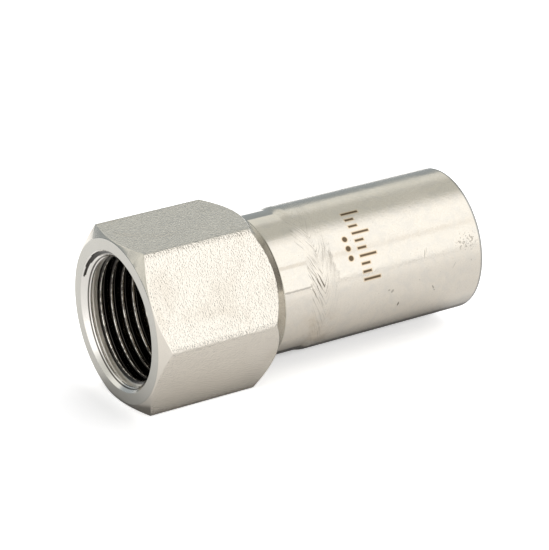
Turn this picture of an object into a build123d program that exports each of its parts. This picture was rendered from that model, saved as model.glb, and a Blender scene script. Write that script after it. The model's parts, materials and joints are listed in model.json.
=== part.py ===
# A press adapter for stainless pipework. A hexagon body with a female pipe thread is
# butt welded to a plain tube, which a press socket grips.
# The axis runs along +X from the threaded mouth to the plain end, the origin is the
# centre of the mouth's face, and one flat of the hexagon faces down. Sizes are in mm.

import os
from math import cos, pi, radians, tan

from build123d import *

os.makedirs("parts", exist_ok=True)

# Pipe thread, half inch, parallel. The bore is left at the thread's minor diameter.
thread_major_diameter = 20.955
thread_height = 1.162
thread_bore_depth = 17.0
countersink_clearance = 0.2225
countersink_angle = 45.0
drill_point_angle = 59.0

# Hexagon. Its width follows from the rim that the countersink leaves round the mouth.
mouth_rim_width = 1.7
flat_margin = 0.25
hexagon_sides = 6
corner_edge_end = 18.55
front_chamfer_angle = 30.0
rear_chamfer_angle = 45.0
blank_allowance = 1.0

# Plain tube
tube_diameter = 22.0
tube_wall = 1.5
tube_length = 27.2
tube_edge_radius = 0.25
tube_bore_chamfer = 0.3

# Neck, turned a little under the tube's diameter
neck_step = 0.25
neck_wall = 1.75
neck_length = 4.8
neck_root_radius = 0.4
bore_taper_length = 1.5

# Weld between the neck and the tube, ground flush outside, with a root bead inside
weld_width = 3.2
weld_ramp_length = 1.7
root_bead_height = 0.2

# Radii and places along the axis that follow from the sizes above
thread_bore_radius = thread_major_diameter / 2 - thread_height
countersink_radius = thread_major_diameter / 2 + countersink_clearance
countersink_depth = (countersink_radius - thread_bore_radius) * tan(radians(countersink_angle))
face_radius = countersink_radius + mouth_rim_width
flat_radius = face_radius + flat_margin
corner_radius = flat_radius / cos(pi / hexagon_sides)
blank_radius = corner_radius + blank_allowance
tube_radius = tube_diameter / 2
tube_bore_radius = tube_radius - tube_wall
neck_radius = tube_radius - neck_step
waterway_radius = neck_radius - neck_wall

front_cone_end = (blank_radius - face_radius) * tan(radians(front_chamfer_angle))
rear_cone_start = corner_edge_end - blank_allowance * tan(radians(rear_chamfer_angle))
neck_start = corner_edge_end + (corner_radius - neck_radius) * tan(radians(rear_chamfer_angle))
neck_end = neck_start + neck_length
drill_point_length = abs(thread_bore_radius - waterway_radius) / tan(radians(drill_point_angle))
waterway_start = thread_bore_depth + drill_point_length
bore_taper_start = neck_end - bore_taper_length
tube_start = neck_end + weld_width

# Threaded body: hexagon bar, turned to a cone at each end and to a round neck behind.
# The cones cut the flats' ends to arcs, as on any turned nut.
with BuildPart() as threaded_body:
    with BuildSketch(Plane.YZ):
        RegularPolygon(radius=flat_radius, side_count=hexagon_sides, major_radius=False)
    extrude(amount=neck_end)
    with BuildSketch(Plane.XZ) as turned_outline:
        with BuildLine():
            Polyline(
                (0, 0),
                (0, face_radius),
                (front_cone_end, blank_radius),
                (rear_cone_start, blank_radius),
                (neck_start, neck_radius),
                (neck_end, neck_radius),
                (neck_end, 0),
                close=True,
            )
        make_face()
        neck_root = turned_outline.vertices().sort_by_distance((neck_start, neck_radius))[0]
        fillet(neck_root, radius=neck_root_radius)
    revolve(axis=Axis.X, mode=Mode.INTERSECT)
    # Countersink, thread bore, drill point, waterway and the taper that meets the tube's bore
    with BuildSketch(Plane.XZ):
        with BuildLine():
            Polyline(
                (0, 0),
                (0, countersink_radius),
                (countersink_depth, thread_bore_radius),
                (thread_bore_depth, thread_bore_radius),
                (waterway_start, waterway_radius),
                (bore_taper_start, waterway_radius),
                (neck_end, tube_bore_radius),
                (neck_end, 0),
                close=True,
            )
        make_face()
    revolve(axis=Axis.X, mode=Mode.SUBTRACT)

# Weld seam: a fused ring that ramps from the neck up to the tube, then runs flush with it
with BuildPart() as weld_seam:
    with BuildSketch(Plane.XZ):
        with BuildLine():
            ramp = Spline(
                (neck_end, neck_radius),
                (neck_end + weld_ramp_length, tube_radius),
                tangents=((1, 0), (1, 0)),
            )
            Line(ramp @ 1, (tube_start, tube_radius))
            Line((tube_start, tube_radius), (tube_start, tube_bore_radius))
            ThreePointArc(
                (tube_start, tube_bore_radius),
                ((neck_end + tube_start) / 2, tube_bore_radius - root_bead_height),
                (neck_end, tube_bore_radius),
            )
            Line((neck_end, tube_bore_radius), ramp @ 0)
        make_face()
    revolve(axis=Axis.X)

# Plain tube: its free end is rounded outside and chamfered inside
with BuildPart() as tube_end:
    with BuildSketch(Plane.YZ.offset(tube_start)):
        Circle(radius=tube_radius)
        Circle(radius=tube_bore_radius, mode=Mode.SUBTRACT)
    extrude(amount=tube_length)
    end_edges = tube_end.faces().sort_by(Axis.X)[-1].edges().sort_by(SortBy.RADIUS)
    fillet(end_edges[-1], radius=tube_edge_radius)
    bore_edge = tube_end.faces().sort_by(Axis.X)[-1].edges().sort_by(SortBy.RADIUS)[0]
    chamfer(bore_edge, length=tube_bore_chamfer)

threaded_body.part.label = "threaded_body"
weld_seam.part.label = "weld_seam"
tube_end.part.label = "tube_end"

export_step(threaded_body.part, "parts/threaded_body.step")
export_step(weld_seam.part, "parts/weld_seam.step")
export_step(tube_end.part, "parts/tube_end.step")
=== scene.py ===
# %% [markdown]
# A stainless press adapter: a hexagon body with a female pipe thread, welded to a plain tube.
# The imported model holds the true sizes. This lesson adds what a camera sees: the cut thread,
# the blasted flats, the turned rings, the ground weld and the drawn tube, lit in a white studio.
# Every value below is in millimetres until a mesh is made, because that is how a fitting is
# dimensioned, and one factor turns it into Blender's metres.

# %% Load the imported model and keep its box
import json
import math

import bmesh
import bpy
import numpy as np
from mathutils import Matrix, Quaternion, Vector


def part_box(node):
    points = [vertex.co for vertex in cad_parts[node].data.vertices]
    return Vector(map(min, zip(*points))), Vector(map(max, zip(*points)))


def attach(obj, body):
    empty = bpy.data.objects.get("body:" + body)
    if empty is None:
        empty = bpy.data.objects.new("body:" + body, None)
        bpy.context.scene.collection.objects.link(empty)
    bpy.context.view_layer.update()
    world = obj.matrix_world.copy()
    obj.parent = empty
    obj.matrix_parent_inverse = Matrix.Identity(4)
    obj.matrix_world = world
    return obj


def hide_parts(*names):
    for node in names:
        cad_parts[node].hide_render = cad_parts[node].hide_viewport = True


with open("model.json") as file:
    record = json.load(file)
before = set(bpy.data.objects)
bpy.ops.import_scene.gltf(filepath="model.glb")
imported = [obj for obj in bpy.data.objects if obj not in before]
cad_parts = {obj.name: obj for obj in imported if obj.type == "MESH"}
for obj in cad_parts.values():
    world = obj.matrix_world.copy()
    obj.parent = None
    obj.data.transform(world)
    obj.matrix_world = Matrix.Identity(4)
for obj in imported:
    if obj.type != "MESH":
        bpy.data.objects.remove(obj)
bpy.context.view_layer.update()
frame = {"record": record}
MM = 0.001

# %% [markdown]
# The driving sizes come from the frame wherever it has them. The body's box gives the hexagon
# across flats and across corners, and the neighbours' boxes give the ends of the neck, the weld
# and the tube. The thread's mount in the record gives its minor radius and its length. The few
# sizes that no box shows, such as the width of the mouth's rim, are named here once.

# %% Sizes from the frame, and the few that it doesn't show
body_low, body_high = (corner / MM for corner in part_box("threaded_body"))
tube_low, tube_high = (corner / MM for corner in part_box("tube_end"))
mounts = {mount["name"]: mount for mount in frame["record"]["mounts"]}
thread_size = mounts["pipe_thread"]["dims"]

flat_radius = body_high.z
corner_radius = body_high.y
neck_end = body_high.x
tube_start = tube_low.x
tube_tip = tube_high.x
tube_radius = tube_high.z
crest_radius = thread_size["r_mm"]

mouth_rim_width = 1.7
flat_margin = 0.25
front_chamfer_angle = 30.0
rear_cone_start = 18.55
neck_step = 0.25
tube_wall = 1.5
waterway_radius = 9.0
bore_taper_length = 1.5
drill_point_angle = 59.0

face_radius = flat_radius - flat_margin
countersink_radius = face_radius - mouth_rim_width
countersink_depth = countersink_radius - crest_radius
bore_depth = countersink_depth + thread_size["length_mm"]
neck_radius = tube_radius - neck_step
tube_bore_radius = tube_radius - tube_wall
print(f"{2 * flat_radius:.2f} mm across flats, tube {2 * tube_radius:.2f} mm, {tube_tip:.2f} mm long")

# %% [markdown]
# The camera comes first, because every later choice is seen through it. Its place, direction
# and focal length were fitted to the hexagon's corners and the tube's outlines. A long lens from
# about 0.4 m looks down on the mouth and the side, so the perspective is slight.

# %% Camera at the photograph's viewing angle
picture_width = 549
picture_height = 550
camera_place = Vector((-173.848, -329.568, 163.151))
camera_azimuth = math.radians(-31.385)
camera_elevation = math.radians(22.797)
camera_roll = math.radians(-1.162)
focal_length_in_pixels = 2798.663
sensor_width = 36.0


def make_camera():
    """A camera whose long side sees the fitted angle."""
    lens = bpy.data.cameras.new("photo_camera")
    lens.sensor_width = sensor_width
    lens.lens = focal_length_in_pixels * sensor_width / max(picture_width, picture_height)
    lens.clip_start = 0.01
    lens.clip_end = 20.0
    camera = bpy.data.objects.new("photo_camera", lens)
    backwards = Vector((
        math.sin(camera_azimuth) * math.cos(camera_elevation),
        -math.cos(camera_azimuth) * math.cos(camera_elevation),
        math.sin(camera_elevation),
    ))
    level = (-backwards).to_track_quat("-Z", "Y")
    camera.rotation_mode = "QUATERNION"
    camera.rotation_quaternion = level @ Quaternion((0, 0, 1), camera_roll)
    camera.location = camera_place * MM
    bpy.context.scene.collection.objects.link(camera)
    bpy.context.scene.camera = camera
    return camera


camera = make_camera()
print(f"lens {camera.data.lens:.1f} mm, {camera.location.length:.3f} m from the mouth")

# %% [markdown]
# Materials are node trees, and a mask can take twenty Math nodes, which are long-winded by hand.
# So a node's output is wrapped in a small class that knows its tree. Then along - start adds one
# Math node, and a mask reads like the sum that it is. The remap method is a Map Range node, which
# turns a measure in millimetres into a mask or a roughness.

# %% Helpers for node trees
class Wire:
    """A node's output, on which sums are written as plain arithmetic."""

    def __init__(self, tree, socket):
        self.tree = tree
        self.socket = socket

    def math(self, operation, *others):
        """The result of one Math node whose first value is this wire."""
        return wire(self.tree, "ShaderNodeMath", dict(enumerate((self, *others))), operation=operation)

    def __add__(self, other):
        return self.math("ADD", other)

    def __sub__(self, other):
        return self.math("SUBTRACT", other)

    def __mul__(self, other):
        return self.math("MULTIPLY", other)

    def __truediv__(self, other):
        return self.math("DIVIDE", other)

    def __rsub__(self, number):
        return wire(self.tree, "ShaderNodeMath", {0: number, 1: self}, operation="SUBTRACT")

    def __rtruediv__(self, number):
        return wire(self.tree, "ShaderNodeMath", {0: number, 1: self}, operation="DIVIDE")

    def remap(self, low, high, to_low=0.0, to_high=1.0, smooth=True):
        """This value taken from low..high to to_low..to_high, and held at both ends."""
        inputs = {"Value": self, "From Min": low, "From Max": high, "To Min": to_low, "To Max": to_high}
        curve = "SMOOTHSTEP" if smooth else "LINEAR"
        return wire(self.tree, "ShaderNodeMapRange", inputs, "Result", interpolation_type=curve)

    def window(self, start, end, edge_in, edge_out=None):
        """1 from start to end, with soft edges, half of each on either side."""
        edge_out = edge_in if edge_out is None else edge_out
        return use_group("soft_window", self, start, end, edge_in, edge_out)[0]


def add(tree, kind, inputs=None, **options):
    """One node, with its options set and its inputs linked or filled."""
    node = tree.nodes.new(kind)
    for option, value in options.items():
        setattr(node, option, value)
    for key, value in (inputs or {}).items():
        if isinstance(value, Wire):
            tree.links.new(value.socket, node.inputs[key])
        else:
            node.inputs[key].default_value = value
    return node


def wire(tree, kind, inputs=None, out=0, **options):
    """One output of a new node."""
    return Wire(tree, add(tree, kind, inputs, **options).outputs[out])


def split(vector):
    """The x, y and z of a vector."""
    node = add(vector.tree, "ShaderNodeSeparateXYZ", {0: vector})
    return [Wire(vector.tree, socket) for socket in node.outputs]


def noise(place, scale, detail, roughness=0.5, distortion=0.0, **options):
    """Noise in space, from 0 to 1."""
    inputs = {"Vector": place, "Scale": scale, "Detail": detail, "Roughness": roughness}
    return wire(place.tree, "ShaderNodeTexNoise", {**inputs, "Distortion": distortion}, **options)


def blend(share, first, second):
    """Two colours mixed by a share."""
    pair = [value if isinstance(value, Wire) else (*value, 1.0) for value in (first, second)]
    inputs = {"Factor": share, 6: pair[0], 7: pair[1]}
    return wire(share.tree, "ShaderNodeMix", inputs, 2, data_type="RGBA")


# %% [markdown]
# An effect that several finishes need is built once, as a node group with named sockets. Each
# group here comes from a recipe, a function that takes the group's inputs as wires and returns
# its outputs. The commonest mask of all is a soft-edged window along one measure: a card of the
# studio, a band of the weld, one arc of the thread, the stretch that a mark covers.

# %% Node groups, and the first of them: a soft window
def make_group(name, inputs, outputs, recipe):
    """A node group whose outputs are what the recipe makes of its inputs."""
    tree = bpy.data.node_groups.new(name, "ShaderNodeTree")
    for in_out, sockets in (("INPUT", inputs), ("OUTPUT", outputs)):
        for socket in sockets:
            kind = "NodeSocketVector" if socket == "Place" else "NodeSocketFloat"
            tree.interface.new_socket(socket, in_out=in_out, socket_type=kind)
    given = add(tree, "NodeGroupInput").outputs[:len(inputs)]
    made = add(tree, "NodeGroupOutput")
    for socket, result in zip(outputs, recipe(*(Wire(tree, socket) for socket in given))):
        tree.links.new(result.socket, made.inputs[socket])
    print(f"group {name}: {', '.join(inputs)} -> {', '.join(outputs)}")


def use_group(name, first, *others):
    """The outputs of the named group, with its inputs in their order, the first of them a wire."""
    inputs = dict(enumerate((first, *others)))
    node = add(first.tree, "ShaderNodeGroup", inputs, node_tree=bpy.data.node_groups[name])
    return [Wire(first.tree, socket) for socket in node.outputs]


def soft_window(value, start, end, edge_in, edge_out):
    """A rise at the start times a fall at the end."""
    half_in = edge_in * 0.5
    half_out = edge_out * 0.5
    rise = value.remap(start - half_in, start + half_in)
    fall = value.remap(end - half_out, end + half_out, 1.0, 0.0)
    return [rise * fall]


make_group("soft_window", ("Value", "Start", "End", "Edge In", "Edge Out"), ("Mask",), soft_window)

# %% [markdown]
# A bright metal shows its surroundings more than itself, so the studio is most of its look. A
# photographer would hang long cards and a softbox parallel to the tube. Here the world paints
# them: each is a band of angles round the tube's axis, seen only by mirrored rays. The camera
# sees plain white behind the fitting. A dome lights the rest at a plain level, brightest overhead
# and towards the tube's far end, so the shadow is dark under the tube and soft at the mouth. The
# cards end towards that far end, and a dim room beyond them draws dark lines in scratches.
# Angles are measured round the tube's axis, from straight behind it (0) over the top (90) to the
# camera's side (180).

# %% Studio world, in bands round the tube's axis
open_white = (1.0, 1.0, 1.0)
dome_level = 0.25
dome_overhead = 1.125
dome_lean = (0.9, 0.25, 0.0)
room_beyond = (0.30, 0.30, 0.30)
room_start = 0.74
room_full = 0.90
studio_bands = (
    # name, from, to, soft edge at the start and at the end, colour
    ("card behind", -14.0, 26.5, 3.0, 4.0, (0.41, 0.455, 0.48)),
    ("gap over it", 26.5, 49.0, 4.0, 14.0, (1.03, 1.05, 1.01)),
    ("card above", 49.0, 92.0, 14.0, 30.0, (0.735, 0.75, 0.715)),
    ("softbox in front", 92.0, 178.0, 30.0, 2.0, (1.60, 1.62, 1.63)),
    ("rib of the softbox", 136.0, 142.0, 2.0, 2.0, (1.33, 1.31, 1.28)),
    ("rim of the softbox", 177.3, 179.7, 1.0, 1.0, (0.85, 0.85, 0.85)),
)


def make_world():
    """White for the camera, bands for mirrored rays, and a dome for everything else."""
    world = bpy.data.worlds.new("white_studio")
    world.use_nodes = True
    world.cycles.sampling_method = "NONE"
    tree = world.node_tree
    tree.nodes.clear()
    direction = wire(tree, "ShaderNodeTexCoord", out="Generated")
    x, y, z = split(direction)
    angle = z.math("ARCTAN2", y).math("DEGREES")
    cards = open_white
    for _, start, end, edge_in, edge_out, band_colour in studio_bands:
        cards = blend(angle.window(start, end, edge_in, edge_out), cards, band_colour)
    cards = blend(x.remap(room_start, room_full), cards, room_beyond)
    inputs = {0: direction, 1: dome_lean}
    lean = wire(tree, "ShaderNodeVectorMath", inputs, "Value", operation="DOT_PRODUCT")
    dome = (z.math("MAXIMUM", 0.0) * dome_overhead + dome_level) * (lean + 1.0)
    dome_colour = wire(tree, "ShaderNodeCombineColor", {"Red": dome, "Green": dome, "Blue": dome})
    lit = blend(wire(tree, "ShaderNodeLightPath", out="Is Glossy Ray"), dome_colour, cards)
    seen = blend(wire(tree, "ShaderNodeLightPath", out="Is Camera Ray"), lit, open_white)
    background = wire(tree, "ShaderNodeBackground", {"Color": seen})
    add(tree, "ShaderNodeOutputWorld", {"Surface": background})
    bpy.context.scene.world = world


make_world()
bpy.context.scene.view_settings.view_transform = "Standard"
print(f"studio of {len(studio_bands)} bands")

# %% [markdown]
# The fitting lies level on one flat of its hexagon, on a white table. The table keeps the soft
# shadow that the dome gives. What the camera sees of it is lifted towards white, as in a picture
# cut out for a catalogue, and less so before the mouth and in a band under the tube, which paints
# the shadow there darker. The metal mirrors a plainer floor with painted light: a glow that grows
# away from the fitting, and a painted shadow that takes it towards black where it meets the
# hexagon and under the tube.

# %% Floor
table_front = -2.0
table_behind = 0.25
table_half_length = 2.0
floor_colour = (0.93, 0.93, 0.93)
black = (0.0, 0.0, 0.0)
half_contact = flat_radius * math.tan(math.radians(30.0))
half_shadow = 4.0
lift_for_camera = 0.60
lift_before_mouth = 0.37
mouth_reach = (-3.0, 2.0)
lift_under_tube = 0.30
shadow_margin = 3.0
tube_shadow_middle = 3.5
tube_shadow_reach = (1.4, 4.6)
lift_near_hexagon = 0.20
lift_near_tube = 0.11
lift_far = 0.30
far_reach = (15.0, 120.0)
contact_dark = 0.62
contact_reach = 6.0
crevice_dark = 0.4
crevice_reach = 0.9


def make_floor_material():
    """White for the camera, with a shadow that a painted band deepens, and for what mirrors it a painted
    glow and a painted contact shadow.
    """
    material = bpy.data.materials.new("white_table")
    material.use_nodes = True
    tree = material.node_tree
    tree.nodes.clear()
    x, y, _ = split(wire(tree, "ShaderNodeTexCoord", out="Object"))
    along = x * (1 / MM)
    across = y * (1 / MM)
    camera_ray = wire(tree, "ShaderNodeLightPath", out="Is Camera Ray")
    glossy_ray = wire(tree, "ShaderNodeLightPath", out="Is Glossy Ray")
    mirrored = glossy_ray + wire(tree, "ShaderNodeLightPath", out="Is Transmission Ray")

    # Painted shadow: the white lift is lower before the mouth and in a band under the tube.
    open_lift = along.remap(*mouth_reach, lift_before_mouth, lift_for_camera)
    beside_shadow = (across - tube_shadow_middle).math("ABSOLUTE")
    under_tube = along.remap(rear_cone_start, neck_end - shadow_margin)
    painted_shadow_band = beside_shadow.remap(*tube_shadow_reach, 1.0, 0.0) * under_tube
    camera_lift = painted_shadow_band * (lift_under_tube - lift_for_camera) + open_lift

    # Painted light for mirrored rays: a glow that grows away from the fitting, and a painted shadow near the
    # hexagon's contact and under the tube.
    contact = along.remap(rear_cone_start, neck_end, half_contact, half_shadow)
    sideways = across.math("ABSOLUTE")
    in_front = (along * -1.0).math("MAXIMUM", 0.0)
    away = (sideways - contact).math("MAXIMUM", 0.0) + in_front
    painted_crevice_shade = away.remap(0.0, crevice_reach, crevice_dark, 1.0)
    painted_contact_shade = away.remap(0.0, contact_reach, contact_dark, 1.0) * painted_crevice_shade
    far_lift = sideways.remap(*far_reach, 0.0, lift_far, smooth=False)
    near_lift = along.remap(rear_cone_start, neck_end, lift_near_hexagon, lift_near_tube)
    mirror_lift = (far_lift + near_lift) * painted_contact_shade

    glow = wire(tree, "ShaderNodeEmission", {"Strength": mirrored * mirror_lift + camera_ray * camera_lift})
    colour = blend(mirrored * (1.0 - painted_contact_shade), floor_colour, black)
    paper = wire(tree, "ShaderNodeBsdfDiffuse", {"Color": colour})
    both = wire(tree, "ShaderNodeAddShader", {0: paper, 1: glow})
    add(tree, "ShaderNodeOutputMaterial", {"Surface": both})
    material.cycles.emission_sampling = "NONE"
    return material


def make_floor():
    """A white table under the hexagon's lower flat."""
    mesh = bpy.data.meshes.new("floor")
    height = body_low.z * MM
    corners = [
        (-table_half_length, table_front, height), (table_half_length, table_front, height),
        (table_half_length, table_behind, height), (-table_half_length, table_behind, height),
    ]
    mesh.from_pydata(corners, [], [(0, 1, 2, 3)])
    floor = bpy.data.objects.new("floor", mesh)
    bpy.context.scene.collection.objects.link(floor)
    mesh.materials.append(make_floor_material())


make_floor()
print(f"table top at {body_low.z:.2f} mm")

# %% [markdown]
# Every finish on this fitting depends on where it is: rings follow the radius on the face and
# the length on the neck, streaks follow the tube, and marks sit at a place round it. One group
# turns a point into those measures. It counts the way round from the top, so that its seam lies
# underneath, on the side that faces the table.

# %% Group: where a point is on the fitting
def place_on_fitting(place):
    """Length along the axis, way round from the top, and radius, in millimetres."""
    x, y, z = split(place)
    turn = y.math("ARCTAN2", z)
    radius = (z * z + y * y).math("SQRT")
    return [x * (1 / MM), turn * tube_radius, radius * (1 / MM)]


make_group("place_on_fitting", ("Place",), ("Along", "Around", "Radius"), place_on_fitting)

# %% [markdown]
# A lathe tool leaves a fine spiral, which reads as rings of slightly different height. A pure
# sine looks like a record, so the rings are one-dimensional noise: uneven in depth and spacing,
# but perfectly concentric. The same group serves the face by radius and the neck by length.

# %% Group: rings of a lathe tool
def turned_rings(measure, spacing):
    """Height of turned rings along one measure."""
    inputs = {"W": measure / spacing, "Scale": 1.0, "Detail": 3.0, "Roughness": 0.6}
    return [wire(measure.tree, "ShaderNodeTexNoise", inputs, noise_dimensions="1D")]


make_group("turned_rings", ("Measure", "Spacing"), ("Height",), turned_rings)

# %% [markdown]
# The flats are as rolled and blasted: a skin of small dents a fifth of a millimetre wide, drawn
# out a little round the bar. Where a dent turns its slope out of the softbox it shows as a dark
# speck, and along the bar's rounded corners the dents make the edge of the highlight ragged.
# Noise in space gives both, with no seam from flat to flat.

# %% Group: grain of a blasted skin
def blasted_grain(place, width, stretch):
    """Height of small dents, of a given width and stretch in millimetres."""
    across = (1 / MM) / width
    down = across / stretch
    scale = wire(place.tree, "ShaderNodeCombineXYZ", {"X": across, "Y": down, "Z": down})
    scaled = wire(place.tree, "ShaderNodeVectorMath", {0: place, 1: scale}, operation="MULTIPLY")
    return [noise(scaled, 1.0, detail=1.0) - 0.5]


make_group("blasted_grain", ("Place", "Width", "Stretch"), ("Height",), blasted_grain)

# %% [markdown]
# Handling leaves soft smudges, patches where the metal is a little duller. They are large, faint
# and irregular, and they break up the too-clean reflections of a computed surface.

# %% Group: smudges of handling
smudge_edge = 0.3


def smudge_recipe(place, size, amount):
    """A soft patchy mask, at a given size in millimetres, and how much of it there is."""
    threshold = 1.0 - amount
    cloud = noise(place, (1 / MM) / size, detail=3.0, roughness=0.55, distortion=0.6)
    return [cloud.remap(threshold, threshold + smudge_edge)]


def smudges(place, size, amount):
    """The mask of a smudge group."""
    return use_group("smudges", place, size, amount)[0]


make_group("smudges", ("Place", "Size", "Amount"), ("Mask",), smudge_recipe)

# %% [markdown]
# The weld was ground flush with a small disc, and the strokes show as a herringbone, a row of
# nested V shapes. The arm on the neck's side is straight and steep, and the arm on the tube's
# side starts flatter and curves up. One noise draws them all: it is read across the arm, where it
# is fine, and along it, where it is long, and the arm bends at the apex. A patchy noise moves the
# borders and bends the strokes a little, because a hand held the disc.

# %% Group: grinding strokes over the weld
apex_along = 29.25
grind_start = 27.3
grind_end = 31.7
grind_edge = 0.9
left_slope = 2.6
right_slope = 1.3
right_bend = 0.9
stroke_gap = 0.56
stroke_length = 1.5
hand_scale = 420.0
hand_range = (0.3, 0.7)
hand_reach = 0.8
hand_share_in_stroke = 0.3
strong_from = -16.5
strong_to = -8.0
strong_edge = 3.5
strong_share = 0.75
weak_share = 0.25
apex_reach = (-0.1, 0.3)
painted_stroke_shade_past_apex = 0.35
painted_stroke_shade_range = (0.50, 0.32)


def ground_strokes(along, around, place):
    """Height of the strokes, the mask of the band that they fill, and the painted shade in them."""
    wander = noise(place, hand_scale, detail=2.0, roughness=0.6)
    drift = wander.remap(*hand_range, -hand_reach, hand_reach, smooth=False)
    offset = along - apex_along
    before = offset.math("MINIMUM", 0.0)
    after = offset.math("MAXIMUM", 0.0)
    arm = before * -left_slope + after * (after * right_bend + right_slope)
    stroke = around - arm + drift * hand_share_in_stroke
    bent = wire(along.tree, "ShaderNodeCombineXYZ", {"X": stroke / stroke_gap, "Y": offset / stroke_length})
    streaks = noise(bent, 1.0, detail=2.0, roughness=0.6, noise_dimensions="2D")
    band = (along + drift).window(grind_start, grind_end, grind_edge)
    # The strong band is the side that faces the softbox, where the painted shade in the strokes shows most.
    strong = around.window(strong_from, strong_to, strong_edge) * strong_share + weak_share
    mask = band * strong
    amount = mask * offset.remap(*apex_reach, 1.0, painted_stroke_shade_past_apex)
    return [streaks, mask, streaks.remap(*painted_stroke_shade_range) * amount]


make_group("ground_strokes", ("Along", "Around", "Place"), ("Height", "Mask", "Soot"), ground_strokes)

# %% [markdown]
# The tube carries a laser mark, a plain graduated scale with three dots beside it. A laser
# anneals the steel instead of painting it: the line is brown-black, with a straw-coloured halo
# where the metal only got warm. The halo is the same mask, spread by a little.

# %% Group: laser ticks on the tube
tick_start = -15.5
tick_spacing = 1.2
tick_count = 10
tick_width = 0.36
tick_base = 36.15
long_tick = 2.9
short_tick = 1.5
long_every = 3.0
dots_start = -11.9
dots_spacing = 1.5
dots_count = 3
dots_along = 34.6
dot_radius = 0.42
mark_softness = 0.09


def nearest_mark(around, start, spacing, count):
    """Distance round the tube to the nearest of a row of marks, and its number."""
    number = ((around - start) / spacing).math("ROUND")
    held = number.math("MAXIMUM", 0.0).math("MINIMUM", count - 1.0)
    return (around - (held * spacing + start)).math("ABSOLUTE"), held


def within(distance, reach):
    """1 nearer than a reach, with a soft edge."""
    return distance.remap(reach - mark_softness, reach + mark_softness, 1.0, 0.0)


def laser_ticks(along, around, spread):
    """The mask of the ticks and dots, grown by a spread."""
    away, number = nearest_mark(around, tick_start, tick_spacing, tick_count)
    is_long = number.math("MODULO", long_every).math("LESS_THAN", 0.5)
    reach = is_long * (long_tick - short_tick) + (tick_base + short_tick)
    thin = within(away, spread + tick_width / 2)
    ticks = thin * along.window(tick_base - spread, reach + spread, 2 * mark_softness)
    away, _ = nearest_mark(around, dots_start, dots_spacing, dots_count)
    beside = along - dots_along
    dots = within((away * away + beside * beside).math("SQRT"), spread + dot_radius)
    return [ticks.math("MAXIMUM", dots)]


make_group("laser_ticks", ("Along", "Around", "Spread"), ("Mask",), laser_ticks)

# %% [markdown]
# A used or shelf-worn tube has a few scratches and nicks, each at its own place. One group draws
# a single soft-ended stroke, and a short list places the ones that this tube has.

# %% Group: one nick or scratch
nick_sockets = ("Along", "Around", "At Along", "At Around", "Half Length", "Half Width", "Lean")
nick_edge = (0.35, 1.3)


def nick(along, around, at_along, at_around, half_length, half_width, lean):
    """A soft stroke of a half length and a half width at a place, leaning by an angle."""
    offset_along = along - at_along
    offset_around = around - at_around
    sine = lean.math("SINE")
    cosine = lean.math("COSINE")
    wide = (offset_along * cosine - offset_around * sine) / half_width
    far = (offset_along * sine + offset_around * cosine) / half_length
    return [(wide * wide + far * far).remap(*nick_edge, 1.0, 0.0)]


make_group("nick", nick_sockets, ("Mask",), nick)

# %% [markdown]
# Now the shapes. A turned and milled part is a stack of rings, each with its own length and
# radius at every angle. So a mesh here is a grid of points, rings by angles, in which every
# crease is broken by a narrow rounded edge, as on real metal, because a perfectly sharp edge
# never catches the light.

# %% Helpers for meshes made of rings
sides = 6
plain_steps = 192
plain_angles = np.radians(np.arange(plain_steps) * 360.0 / plain_steps)
corner_offsets = (0.2, 0.4, 0.6, 0.8, 1.05, 1.5)
edge_steps = 3
sharp_angle = 40.0
merge_distance = 2e-7
sliver_length = 1e-7


def angles_round_hexagon():
    """Even steps round the axis, and closer ones at each corner of the hexagon."""
    turn = 360.0
    corners = np.arange(sides) * turn / sides
    near = [corners + sign * offset for offset in corner_offsets for sign in (-1, 1)]
    every = np.concatenate([np.arange(plain_steps) * turn / plain_steps, *near]) % turn
    return np.radians(np.unique(np.round(every, 6)))


def ring_path(stations, angles):
    """Lengths and radii at every angle. A station may give one number, or one for each angle."""
    level = np.ones_like(angles)
    return np.array([np.stack([along * level, radius * level], axis=-1) for along, radius in stations])


def break_edges(path, widths, steps=edge_steps):
    """path is (stations, angles, 2) of length and radius. Each station with a width is rounded."""
    rows = []
    for index, width in enumerate(widths):
        corner = path[index]
        if not width:
            rows.append(corner)
            continue
        arms = []
        for other in (path[index - 1], path[index + 1]):
            arm = other - corner
            arms.append(corner + arm / np.linalg.norm(arm, axis=-1, keepdims=True) * width)
        for share in np.linspace(0, 1, steps + 1):
            rest = 1 - share
            rows.append(rest ** 2 * arms[0] + 2 * share * rest * corner + share ** 2 * arms[1])
    return np.array(rows)


def points_of(path, angles):
    """Points in space, in metres, of a path of lengths and radii."""
    along, radius = path[..., 0], path[..., 1]
    return np.stack([along, radius * np.cos(angles), radius * np.sin(angles)], axis=-1) * MM


def ring_faces(rows, columns):
    """Quads between neighbouring rings, closed round the axis."""
    row, column = np.meshgrid(np.arange(rows - 1), np.arange(columns), indexing="ij")
    after = (column + 1) % columns
    near, far = row * columns, (row + 1) * columns
    return np.stack([near + column, near + after, far + after, far + column], axis=-1).reshape(-1, 4)


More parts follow.
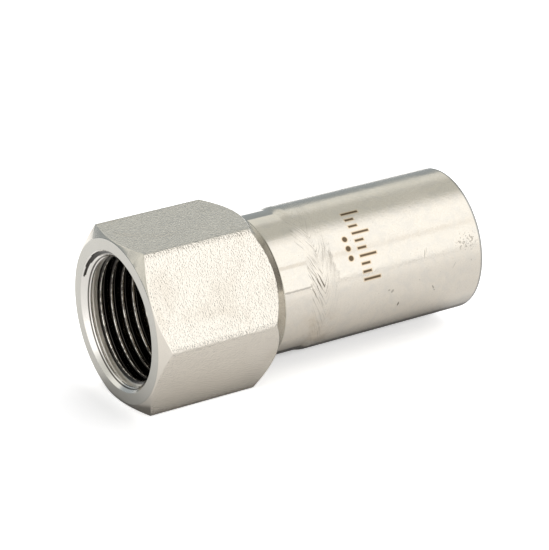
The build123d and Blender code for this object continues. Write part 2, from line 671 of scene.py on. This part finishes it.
def mesh_object(name, points, quads, slots):
    """An object from points and quads, merged where rings meet; slots gives a material per quad."""
    mesh = bpy.data.meshes.new(name)
    mesh.from_pydata(points.reshape(-1, 3).tolist(), [], quads.tolist())
    mesh.polygons.foreach_set("material_index", np.asarray(slots, dtype=np.int32))
    work = bmesh.new()
    work.from_mesh(mesh)
    bmesh.ops.remove_doubles(work, verts=work.verts, dist=merge_distance)
    bmesh.ops.dissolve_degenerate(work, edges=work.edges, dist=sliver_length)
    bmesh.ops.recalc_face_normals(work, faces=work.faces)
    for face in work.faces:
        face.smooth = True
    open_edges = sum(1 for edge in work.edges if not edge.is_manifold)
    work.to_mesh(mesh)
    work.free()
    mesh.set_sharp_from_angle(angle=math.radians(sharp_angle))
    piece = bpy.data.objects.new(name, mesh)
    bpy.context.scene.collection.objects.link(piece)
    piece.modifiers.new("flat_faces_stay_flat", "WEIGHTED_NORMAL").keep_sharp = True
    mesh.calc_loop_triangles()
    print(f"{name}: {len(mesh.loop_triangles)} triangles, {open_edges} open edges")
    return piece


# %% [markdown]
# The body starts as hexagon bar. The bar's corners are drawn with a small radius. The lathe cuts
# a flat 30 degree cone at the mouth and a 45 degree cone behind. Both cones meet the flats in
# arcs, which here come out by themselves: at each angle the ring sits where the cone reaches
# the bar's radius at that angle.

# %% Outer skin of the body
bar_corner_radius = 0.5
edge_break = 0.07
neck_root_radius = 0.4
neck_root_arm = neck_root_radius * math.tan(math.radians(45.0) / 2)


def bar_radius(angles):
    """Radius of the hexagon bar at each angle, with its corners rounded."""
    sector = 2 * math.pi / sides
    from_corner = (angles + sector / 2) % sector - sector / 2
    flat = flat_radius / np.cos(sector / 2 - np.abs(from_corner))
    centre = (flat_radius - bar_corner_radius) / math.cos(sector / 2)
    across = centre * np.sin(from_corner)
    inside = np.maximum(bar_corner_radius ** 2 - across ** 2, 0)
    arc = centre * np.cos(from_corner) + np.sqrt(inside)
    tangent = sector / 2 - math.atan((flat_radius - bar_corner_radius) * math.tan(sector / 2) / flat_radius)
    return np.where(np.abs(from_corner) < tangent, arc, flat)


def outer_stations(angles):
    """Stations from the bore behind, over the neck and the hexagon, to the countersink's edge."""
    bar = bar_radius(angles)
    front = (bar - face_radius) * math.tan(math.radians(front_chamfer_angle))
    rear = rear_cone_start + (corner_radius - bar)
    neck_start = rear_cone_start + corner_radius - neck_radius
    drill_end = bore_depth + (crest_radius - waterway_radius) / math.tan(math.radians(drill_point_angle))
    print(f"neck from {neck_start:.2f} mm, bore {bore_depth:.2f} mm deep, drilled to {drill_end:.2f} mm")
    return (
        # length, radius, broken edge, finish of the band that follows
        (bore_depth, crest_radius, 0, "bore"),
        (drill_end, waterway_radius, 0, "bore"),
        (neck_end - bore_taper_length, waterway_radius, 0, "bore"),
        (neck_end, tube_bore_radius, 0, "bore"),
        (neck_end, neck_radius, 0, "neck"),
        (neck_start, neck_radius, neck_root_arm, "turned"),
        (rear, bar, edge_break, "flats"),
        (front, bar, edge_break, "turned"),
        (0, face_radius, edge_break, "turned"),
        (0, countersink_radius, 0, "turned"),
    )


# %% [markdown]
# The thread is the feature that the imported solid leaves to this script. Pipe threads like it have
# 14 turns an inch, flanks at 55 degrees, and crests and roots rounded alike. A screw modifier could
# sweep a profile, but it couldn't run out into the countersink at one end and fade at the other.
# So the grid itself is helical: each row keeps one place on the thread's profile, and one turn
# of the grid joins a row to the row one pitch further on. Where the countersink's cone is wider
# than the thread, the cone wins, which leaves the cut crescents that the mouth shows.

# %% The cut thread, as a helical grid
pitch = 25.4 / 14
flank_angle = math.radians(27.5)
root_radius = 0.249
thread_height = 1.162
pitch_radius = crest_radius + thread_height / 2
groove_radius = crest_radius + thread_height
first_root = 0.03
run_out = 2.2
spare_turns = 3
places_on_each_run = 6
cone_tolerance = 1e-6
arc_reach = root_radius * math.cos(flank_angle)
print(f"thread of {bore_depth / pitch:.1f} turns, pitch {pitch:.3f} mm")


def groove(offset):
    """Radius of the thread's wall at a distance along the axis from the root's middle."""
    away = np.abs(offset)
    crest_away = pitch / 2 - away
    root = groove_radius - root_radius + np.sqrt(np.maximum(root_radius ** 2 - away ** 2, 0))
    crest = crest_radius + root_radius - np.sqrt(np.maximum(root_radius ** 2 - crest_away ** 2, 0))
    flank = pitch_radius + (pitch / 4 - away) / math.tan(flank_angle)
    return np.where(away < arc_reach, root, np.where(crest_away < arc_reach, crest, flank))


def profile_places():
    """Places along one pitch, closer together on the rounded root and crest than on the flanks."""
    arc = np.linspace(-arc_reach, arc_reach, places_on_each_run)
    flank = np.linspace(arc_reach, pitch / 2 - arc_reach, places_on_each_run)[1:-1]
    return np.concatenate([arc, flank, pitch / 2 + arc, pitch - flank[::-1]])


def thread_grid(angles):
    """The helical grid, rows by angles, where it lies on the cone, and its rows to a turn."""
    places = profile_places()
    turns = np.arange(-spare_turns, math.ceil(bore_depth / pitch) + spare_turns)
    rows = (turns[:, None] * pitch + places[None, :]).ravel()
    offset = np.tile(places, len(turns))
    along = first_root + rows[:, None] + pitch * angles[None, :] / (2 * math.pi)
    folded = (offset + pitch / 2) % pitch - pitch / 2
    along = np.clip(along, 0, bore_depth)
    fade = np.clip((bore_depth - along) / run_out, 0, 1)
    wall = crest_radius + (groove(folded)[:, None] - crest_radius) * fade * fade * (3 - 2 * fade)
    cone = countersink_radius - along
    radius = np.where(along <= 0, countersink_radius, np.maximum(wall, cone))
    radius = np.where(along >= bore_depth, crest_radius, radius)
    return np.stack([along, radius], axis=-1), radius <= cone + cone_tolerance, len(places)


def helical_faces(rows, columns, per_turn, first):
    """Quads of the helical grid: past the last angle, a row joins the row one turn further on."""
    row, column = np.meshgrid(np.arange(rows - 1), np.arange(columns), indexing="ij")
    last = column == columns - 1
    after = np.where(last, 0, column + 1)
    shift = np.where(last, per_turn, 0)
    quads = np.stack([
        row * columns + column, (row + shift) * columns + after,
        (row + 1 + shift) * columns + after, (row + 1) * columns + column,
    ], axis=-1).reshape(-1, 4)
    real = (row + 1 + shift < rows).ravel()
    return quads[real] + first, real


# %% Body: outer skin and thread in one closed mesh
body_finishes = ("flats", "turned", "neck", "bore", "thread")


def make_body():
    """The threaded body, with a material slot for each finish."""
    angles = angles_round_hexagon()
    stations = outer_stations(angles)
    path = ring_path([station[:2] for station in stations], angles)
    skin = break_edges(path, [width for _, _, width, _ in stations])
    finishes = []
    for _, _, width, finish in stations:
        finishes += [finish] * (edge_steps + 1 if width else 1)
    columns = len(angles)
    skin_quads = ring_faces(len(skin), columns)
    skin_slots = np.repeat([body_finishes.index(name) for name in finishes[:-1]], columns)
    grid, on_cone, per_turn = thread_grid(angles)
    thread_quads, real = helical_faces(len(grid), columns, per_turn, first=len(skin) * columns)
    cone_quads = (on_cone[:-1] & on_cone[1:]).ravel()[real]
    thread_slots = np.where(cone_quads, body_finishes.index("turned"), body_finishes.index("thread"))
    points = np.concatenate([points_of(part, angles).reshape(-1, 3) for part in (skin, grid)])
    quads = np.concatenate([skin_quads, thread_quads])
    return mesh_object("threaded_body_machined", points, quads, np.concatenate([skin_slots, thread_slots]))


body = make_body()

# %% [markdown]
# The weld ramps from the neck up to the tube and then runs flush. Outside it is ground, so its
# shape is a smooth ramp. Inside, the root bead was left as it froze: a low ring with a ripple
# for every pulse of the torch.

# %% Weld seam
weld_ramp_length = 1.7
ramp_stations = 9
root_bead_height = 0.2
bead_stations = 15
bead_ripples = 34
ripple_height = 0.03
ripple_bend = 2.5


def make_weld():
    """The ground weld, outside and inside."""
    stations = [
        (neck_end + share * weld_ramp_length, neck_radius + neck_step * share * share * (3 - 2 * share))
        for share in np.linspace(0, 1, ramp_stations)
    ]
    stations.append((tube_start, tube_radius))
    outside = len(stations)
    for share in np.linspace(1, -1, bead_stations):
        hump = 1 - share ** 2
        ripple = 0.5 + 0.5 * np.cos(bead_ripples * plain_angles - ripple_bend * share ** 2)
        along = (neck_end + tube_start) / 2 + share * (tube_start - neck_end) / 2
        stations.append((along, tube_bore_radius - hump * (root_bead_height + ripple_height * ripple)))
    stations.append(stations[0])
    points = points_of(ring_path(stations, plain_angles), plain_angles)
    slots = np.where(np.arange(len(stations) - 1) < outside, 0, 1)
    quads = ring_faces(len(stations), plain_steps)
    return mesh_object("weld_seam_ground", points, quads, np.repeat(slots, plain_steps))


weld = make_weld()

# %% [markdown]
# The tube is plain: cut square, its outer edge rolled round so that it enters the socket past
# the seal ring without cutting it, and its bore lightly chamfered.

# %% Tube end
tube_edge_radius = 0.25
tube_bore_chamfer = 0.3
rim_steps = 5


def make_tube():
    """The plain tube with its rounded outer edge and its chamfered bore."""
    stations = (
        (tube_start, tube_bore_radius, 0),
        (tube_start, tube_radius, 0),
        (tube_tip, tube_radius, tube_edge_radius),
        (tube_tip, tube_bore_radius + tube_bore_chamfer, edge_break),
        (tube_tip - tube_bore_chamfer, tube_bore_radius, edge_break),
        (tube_start, tube_bore_radius, 0),
    )
    path = ring_path([station[:2] for station in stations], plain_angles)
    rows = break_edges(path, [width for _, _, width in stations], steps=rim_steps)
    quads = ring_faces(len(rows), plain_steps)
    first_inside = len(rows) - (rim_steps + 3)
    slots = np.where(np.arange(len(rows) - 1) >= first_inside, 1, 0)
    return mesh_object("tube_end_drawn", points_of(rows, plain_angles), quads, np.repeat(slots, plain_steps))


tube = make_tube()

# %% [markdown]
# All the finishes are one alloy, so they share one colour, a warm grey. They differ in how rough
# they are and in the marks that their making left. The Principled shader stays in each material,
# with Metallic at 1, and each finish is a recipe that returns its colour, roughness and bumps.

# %% Start of a steel material
steel_colour = (0.66, 0.615, 0.545)
brown_tint = (0.80, 0.76, 0.70)


def make_steel(name, recipe, *values):
    """A metal material whose colour, roughness and normal come from a recipe."""
    material = bpy.data.materials.new(name)
    material.use_nodes = True
    tree = material.node_tree
    tree.nodes.clear()
    shader = add(tree, "ShaderNodeBsdfPrincipled", {"Metallic": 1.0, "Base Color": (*steel_colour, 1.0)})
    add(tree, "ShaderNodeOutputMaterial", {"Surface": Wire(tree, shader.outputs[0])})
    place = wire(tree, "ShaderNodeTexCoord", out="Object")
    look = recipe(place, *use_group("place_on_fitting", place), *values)
    for socket, result in zip(("Base Color", "Roughness", "Normal"), look):
        tree.links.new(result.socket, shader.inputs[socket])
    print(f"material {name}: {len(tree.nodes)} nodes")
    return material


def bump(height, depth, below=None):
    """A bump of a depth in millimetres, on top of another one."""
    inputs = {"Height": height, "Distance": depth * MM, "Strength": 1.0}
    if below is not None:
        inputs["Normal"] = below
    return wire(height.tree, "ShaderNodeBump", inputs, "Normal")


def tinted(tint, share=1.0):
    """The steel's colour under a tint, by a share."""
    return tuple(base * (1 - share + share * part) for base, part in zip(steel_colour, tint))


# %% [markdown]
# The flats get the grain, twice as deep at the bar's corners, and two kinds of patches: some
# only duller, and some stained a little brown.

# %% Blasted flats
grain_width = 0.20
grain_stretch = 1.3
grain_depth = 0.14
corner_grain = 1.0
corner_reach = (0.02, 0.05)
flats_roughness = (0.19, 0.27)
flats_colour = (0.715, 0.667, 0.592)
flats_patches = {"size": 7.0, "amount": 0.65}
flats_stains = {"size": 9.0, "amount": 0.5}
stain_share = 0.5


def blasted_flats(place, along, around, radius):
    """Dented skin of the hexagon bar."""
    grain = use_group("blasted_grain", place, grain_width, grain_stretch)[0]
    sixth = around * (sides / (2 * math.pi * tube_radius)) + 0.5
    from_corner = (sixth - sixth.math("ROUND")).math("ABSOLUTE")
    at_corner = from_corner.remap(*corner_reach, 1.0 + corner_grain, 1.0)
    stains = smudges(place, **flats_stains) * stain_share
    colour = blend(stains, flats_colour, tinted(brown_tint))
    roughness = smudges(place, **flats_patches).remap(0.0, 1.0, *flats_roughness)
    return colour, roughness, bump(grain * at_corner, grain_depth)


# %% [markdown]
# Face, cones and countersink were cut on the lathe. The face is painted a darker, cooler grey and
# the rear cone a darker, browner one, a painted shade for the darker surroundings that they
# mirror, and the countersink is painted lighter, a painted highlight. Where the groove breaks out
# of the countersink, two dark lines that follow the helix are painted just before it, a painted
# shade of that edge. The edge is where the cone meets the groove's straight flank.

# %% Turned faces
painted_face_shade_tint = (0.72, 0.75, 0.77)
painted_rear_shade_tint = (0.80, 0.80, 0.76)
painted_countersink_highlight = (0.74, 0.71, 0.665)
face_ring_spacing = 0.09
face_ring_depth = 0.003
face_patches = {"size": 4.0, "amount": 0.65}
face_roughness = (0.16, 0.24)
face_window = (-1.0, 0.05, 0.05)
rear_margin = 0.2
rear_edge = 0.3
cone_margin = 0.02
painted_edge_lines_colour = (0.10, 0.09, 0.08)
painted_edge_lines_before_edge = (0.33, 0.03)
painted_edge_line_width = 0.17
painted_edge_line_softness = 0.05
painted_edge_line_share = 0.95
open_turn = 1
edge_share = 1 / (1 + math.tan(flank_angle))
edge_start = (math.tan(flank_angle) * (countersink_radius - pitch_radius) - pitch / 4) * edge_share


def root_place(place, turn):
    """Length at which the root of one turn of the groove lies, at a point's angle."""
    _, y, z = split(place)
    return z.math("ARCTAN2", y) * (pitch / (2 * math.pi)) + (first_root + turn * pitch)


def turned_faces(place, along, around, radius):
    """Face, cones and countersink."""
    rings = use_group("turned_rings", radius, face_ring_spacing)[0]
    behind = along.window(rear_cone_start - rear_margin, neck_end, rear_edge)
    # Painted shade: a darker, cooler copy of the steel on the face and a darker, browner one on the rear
    # cone; a lighter one on the countersink is a painted highlight.
    colour = blend(along.window(*face_window), steel_colour, tinted(painted_face_shade_tint))
    colour = blend(behind, colour, tinted(painted_rear_shade_tint))
    inside = radius.window(0.0, countersink_radius - cone_margin, cone_margin)
    on_cone = inside * along.window(0.0, bore_depth, cone_margin)
    colour = blend(on_cone, colour, painted_countersink_highlight)
    # Painted shade: two dark lines along the helix, just before the groove's edge on the countersink.
    before_edge = root_place(place, open_turn) * edge_share + edge_start - along
    for middle in painted_edge_lines_before_edge:
        painted_edge_line = before_edge.window(middle - painted_edge_line_width / 2, middle + painted_edge_line_width / 2, painted_edge_line_softness)
        colour = blend(painted_edge_line * on_cone * painted_edge_line_share, colour, painted_edge_lines_colour)
    roughness = smudges(place, **face_patches).remap(0.0, 1.0, *face_roughness)
    return colour, roughness, bump(rings, face_ring_depth)


# %% [markdown]
# Neck, weld and tube share one recipe with their own values, because the grinder's strokes run
# over all three. From below: rings of the lathe or the drawing die, a faint orange peel, and the
# strokes. Colour comes last: painted shade in the strokes, strongest on the side that faces the
# softbox, a brown bloom beside the weld, a band of painted shade round the tube's tip, the laser
# mark and the scuffs, each a mask that mixes one colour in.

# %% Round outsides: neck, weld and tube
mark_layers = (
    # spread, share, colour: the halo, and the mark on it
    (0.14, 0.45, (0.62, 0.42, 0.20)),
    (0.0, 0.94, (0.075, 0.05, 0.028)),
)
round_ring_spacing = 0.12
round_ring_depth = 0.0006
round_patches = {"size": 6.0, "amount": 0.6}
peel_size = 0.55
speckle_size = 0.2
speckle_range = 0.25
speckle_share = 0.35
clouds = {"size": 1.8, "amount": 0.6}
cloud_share = 0.45
cool_tint = (0.84, 0.86, 0.89)
stroke_depth = 0.06
stroke_roughness = 0.08
dark_wear_and_painted_shade = (0.13, 0.11, 0.085)
painted_stroke_shade_share = 0.95
bloom_colour = (0.50, 0.43, 0.34)
bloom_along = (25.6, 31.0, 2.6)
bloom_around = (-27.0, -19.5, 3.0)
bloom_patches = {"size": 2.6, "amount": 0.62}
bloom_share = 0.7
painted_tip_shade_colour = (0.24, 0.24, 0.23)
painted_tip_shade_width = 0.40
painted_tip_shade_edge = 0.12
painted_tip_shade_share = 0.8
nicks = (
    # along, around, half length, half width, lean in degrees, strength
    (47.2, -14.0, 0.75, 0.07, 12.0, 0.45),
    (47.55, -13.6, 0.55, 0.06, 16.0, 0.40),
    (48.6, -19.7, 0.45, 0.13, -30.0, 0.55),
    (48.9, -20.3, 0.20, 0.10, -60.0, 0.50),
    (42.5, -21.2, 0.38, 0.15, 8.0, 0.90),
    (41.1, -18.5, 0.35, 0.22, 50.0, 0.45),
    (40.5, -18.2, 0.22, 0.16, 80.0, 0.40),
    (52.3, -16.9, 0.60, 0.06, 35.0, 0.35),
)
round_finishes = {
    # depth of the orange peel, lowest and highest roughness
    "turned_neck": (0.003, 0.06, 0.10),
    "ground_weld": (0.004, 0.10, 0.18),
    "drawn_tube": (0.014, 0.17, 0.24),
}
scuff_along = 54.9
scuff_around = -13.7
scuff_reach = (2.6, 2.0)
scuff_fade = (0.1, 1.2)
scuff_scale = 2600.0
scuff_limit = 0.72
scuff_limit_drop = 0.20
scuff_edge = 0.06
scuff_share = 0.5


def nicked(along, around):
    """The strongest of all the nicks at a point."""
    total = 0.0
    for *place_and_size, lean, strength in nicks:
        mask = use_group("nick", along, around, *place_and_size, math.radians(lean))[0]
        total = (mask * strength).math("MAXIMUM", total)
    return total


def scuffed(place, along, around):
    """A patch of fine dark scratches near the tube's end."""
    wide = (along - scuff_along) / scuff_reach[0]
    far = (around - scuff_around) / scuff_reach[1]
    patch = (wide * wide + far * far).remap(*scuff_fade, 1.0, 0.0)
    limit = patch * -scuff_limit_drop + scuff_limit
    scratches = noise(place, scuff_scale, detail=2.0, roughness=0.6, distortion=0.5)
    return scratches.remap(limit, limit + scuff_edge) * scuff_share


def round_outside(place, along, around, radius, peel_depth, low_roughness, high_roughness):
    """A round outside, with what its makers and its handling left on it, and painted shade in the strokes
    and at the tube's tip.
    """
    rings = use_group("turned_rings", along, round_ring_spacing)[0]
    peel = use_group("blasted_grain", place, peel_size, 1.0)[0]
    streaks, ground, painted_stroke_shade = use_group("ground_strokes", along, around, place)
    peeled = bump(peel, peel_depth, below=bump(rings, round_ring_depth))
    normal = bump(streaks * ground, stroke_depth, below=peeled)
    plain = smudges(place, **round_patches).remap(0.0, 1.0, low_roughness, high_roughness)
    roughness = ground * stroke_roughness + plain

    speckle = use_group("blasted_grain", place, speckle_size, 1.0)[0]
    clean = speckle.remap(-speckle_range, speckle_range, 0.0, speckle_share, smooth=False)
    bloom = along.window(*bloom_along) * around.window(*bloom_around) * smudges(place, **bloom_patches)
    # Painted shade: a dark band over the tube's last 0.4 mm and its end.
    rim = along.window(tube_tip - painted_tip_shade_width, tube_tip + 1.0, painted_tip_shade_edge)
    worn = nicked(along, around).math("MAXIMUM", scuffed(place, along, around))
    colour = blend(clean, steel_colour, tinted(brown_tint))
    for mask, over in (
        (smudges(place, **clouds) * cloud_share, tinted(cool_tint)),
        (bloom * bloom_share, bloom_colour),
        # painted shade in the strokes
        (painted_stroke_shade * painted_stroke_shade_share, dark_wear_and_painted_shade),
        (rim * painted_tip_shade_share, painted_tip_shade_colour),
        (worn, dark_wear_and_painted_shade),
    ):
        colour = blend(mask, colour, over)
    for spread, share, over in mark_layers:
        colour = blend(use_group("laser_ticks", along, around, spread)[0] * share, colour, over)
    return colour, roughness, normal


# %% [markdown]
# In the thread the crests are painted lighter than the steel, a painted highlight, and the grooves
# are painted almost black, a painted shade: they are deep, and what they reflect is the dark
# opposite wall. The painted shade is a mask by radius, between the crest's arc and the groove's
# bottom, thinner along a step halfway down, which paints a faint highlight line there. The first
# turn is open to the light on its outer half, so there the painted shade is gone.

# %% Thread
painted_groove_shade_colour = (0.05, 0.045, 0.04)
painted_groove_shade_start = crest_radius + 0.012
painted_groove_shade_full = crest_radius + 0.065
painted_crest_highlight = (0.80, 0.76, 0.69)
dash_scale = 1400.0
dash_range = (0.35, 0.65)
dash_height = 0.02
step_radius = pitch_radius + 0.04
step_width = 0.05
step_edge = 0.04
painted_step_highlight = -0.45
open_from = (pitch_radius - 0.2, pitch_radius + 0.05)
open_edge = 0.1
open_roughness = 0.28
thread_ring_spacing = 0.06
thread_ring_depth = 0.002
thread_patches = {"size": 3.0, "amount": 0.6}
thread_roughness = (0.14, 0.22)


def cut_thread(place, along, around, radius):
    """Crests painted bright and grooves painted dark, as painted highlight and shade."""
    dashes = noise(place, dash_scale, detail=1.0).remap(*dash_range, -dash_height, dash_height)
    flank = (radius + dashes).remap(painted_groove_shade_start, painted_groove_shade_full)
    step = radius.window(step_radius - step_width, step_radius + step_width, step_edge)
    past_root = along - root_place(place, open_turn)
    first = radius.remap(*open_from) * past_root.window(-pitch / 2, pitch / 2, open_edge)
    painted_groove_shade = (step * painted_step_highlight + flank) * (1.0 - first)
    rings = use_group("turned_rings", radius, thread_ring_spacing)[0]
    rough = smudges(place, **thread_patches).remap(0.0, 1.0, *thread_roughness)
    colour = blend(painted_groove_shade, painted_crest_highlight, painted_groove_shade_colour)
    return colour, first * open_roughness + rough, bump(rings, thread_ring_depth)


# %% [markdown]
# The inside walls are rougher and browner than the outside, with coarser rings.

# %% Bores
bore_ring_spacing = 0.2
bore_ring_depth = 0.004
bore_patches = {"size": 5.0, "amount": 0.6}
bore_roughness = (0.25, 0.4)
bore_clean_share = 0.6


def bored_inside(place, along, around, radius):
    """Inside walls."""
    rings = use_group("turned_rings", along, bore_ring_spacing)[0]
    patches = smudges(place, **bore_patches)
    colour = blend(patches, tinted(brown_tint, bore_clean_share), tinted(brown_tint))
    return colour, patches.remap(0.0, 1.0, *bore_roughness), bump(rings, bore_ring_depth)


# %% Dress the pieces
neck_steel, weld_steel, tube_steel = (
    make_steel(name, round_outside, *values) for name, values in round_finishes.items()
)
finish_of = {
    "flats": make_steel("blasted_flats", blasted_flats),
    "turned": make_steel("turned_faces", turned_faces),
    "neck": neck_steel,
    "bore": make_steel("bored_inside", bored_inside),
    "thread": make_steel("cut_thread", cut_thread),
}
for finish in body_finishes:
    body.data.materials.append(finish_of[finish])
weld.data.materials.append(weld_steel)
weld.data.materials.append(make_steel("weld_root", bored_inside))
tube.data.materials.append(tube_steel)
tube.data.materials.append(make_steel("tube_inside", bored_inside))

# %% [markdown]
# Last, each piece is listed with the imported node that it stands for and a finish of the record.
# The node is hidden, and the piece rides on the one root body, because nothing on this fitting moves.

# %% Ride, and hide the imported nodes
for piece, node, slot in (
    (body, "threaded_body", "turned_steel"),
    (weld, "weld_seam", "ground_weld"),
    (tube, "tube_end", "tube_steel"),
):
    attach(piece, "root")
    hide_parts(node)
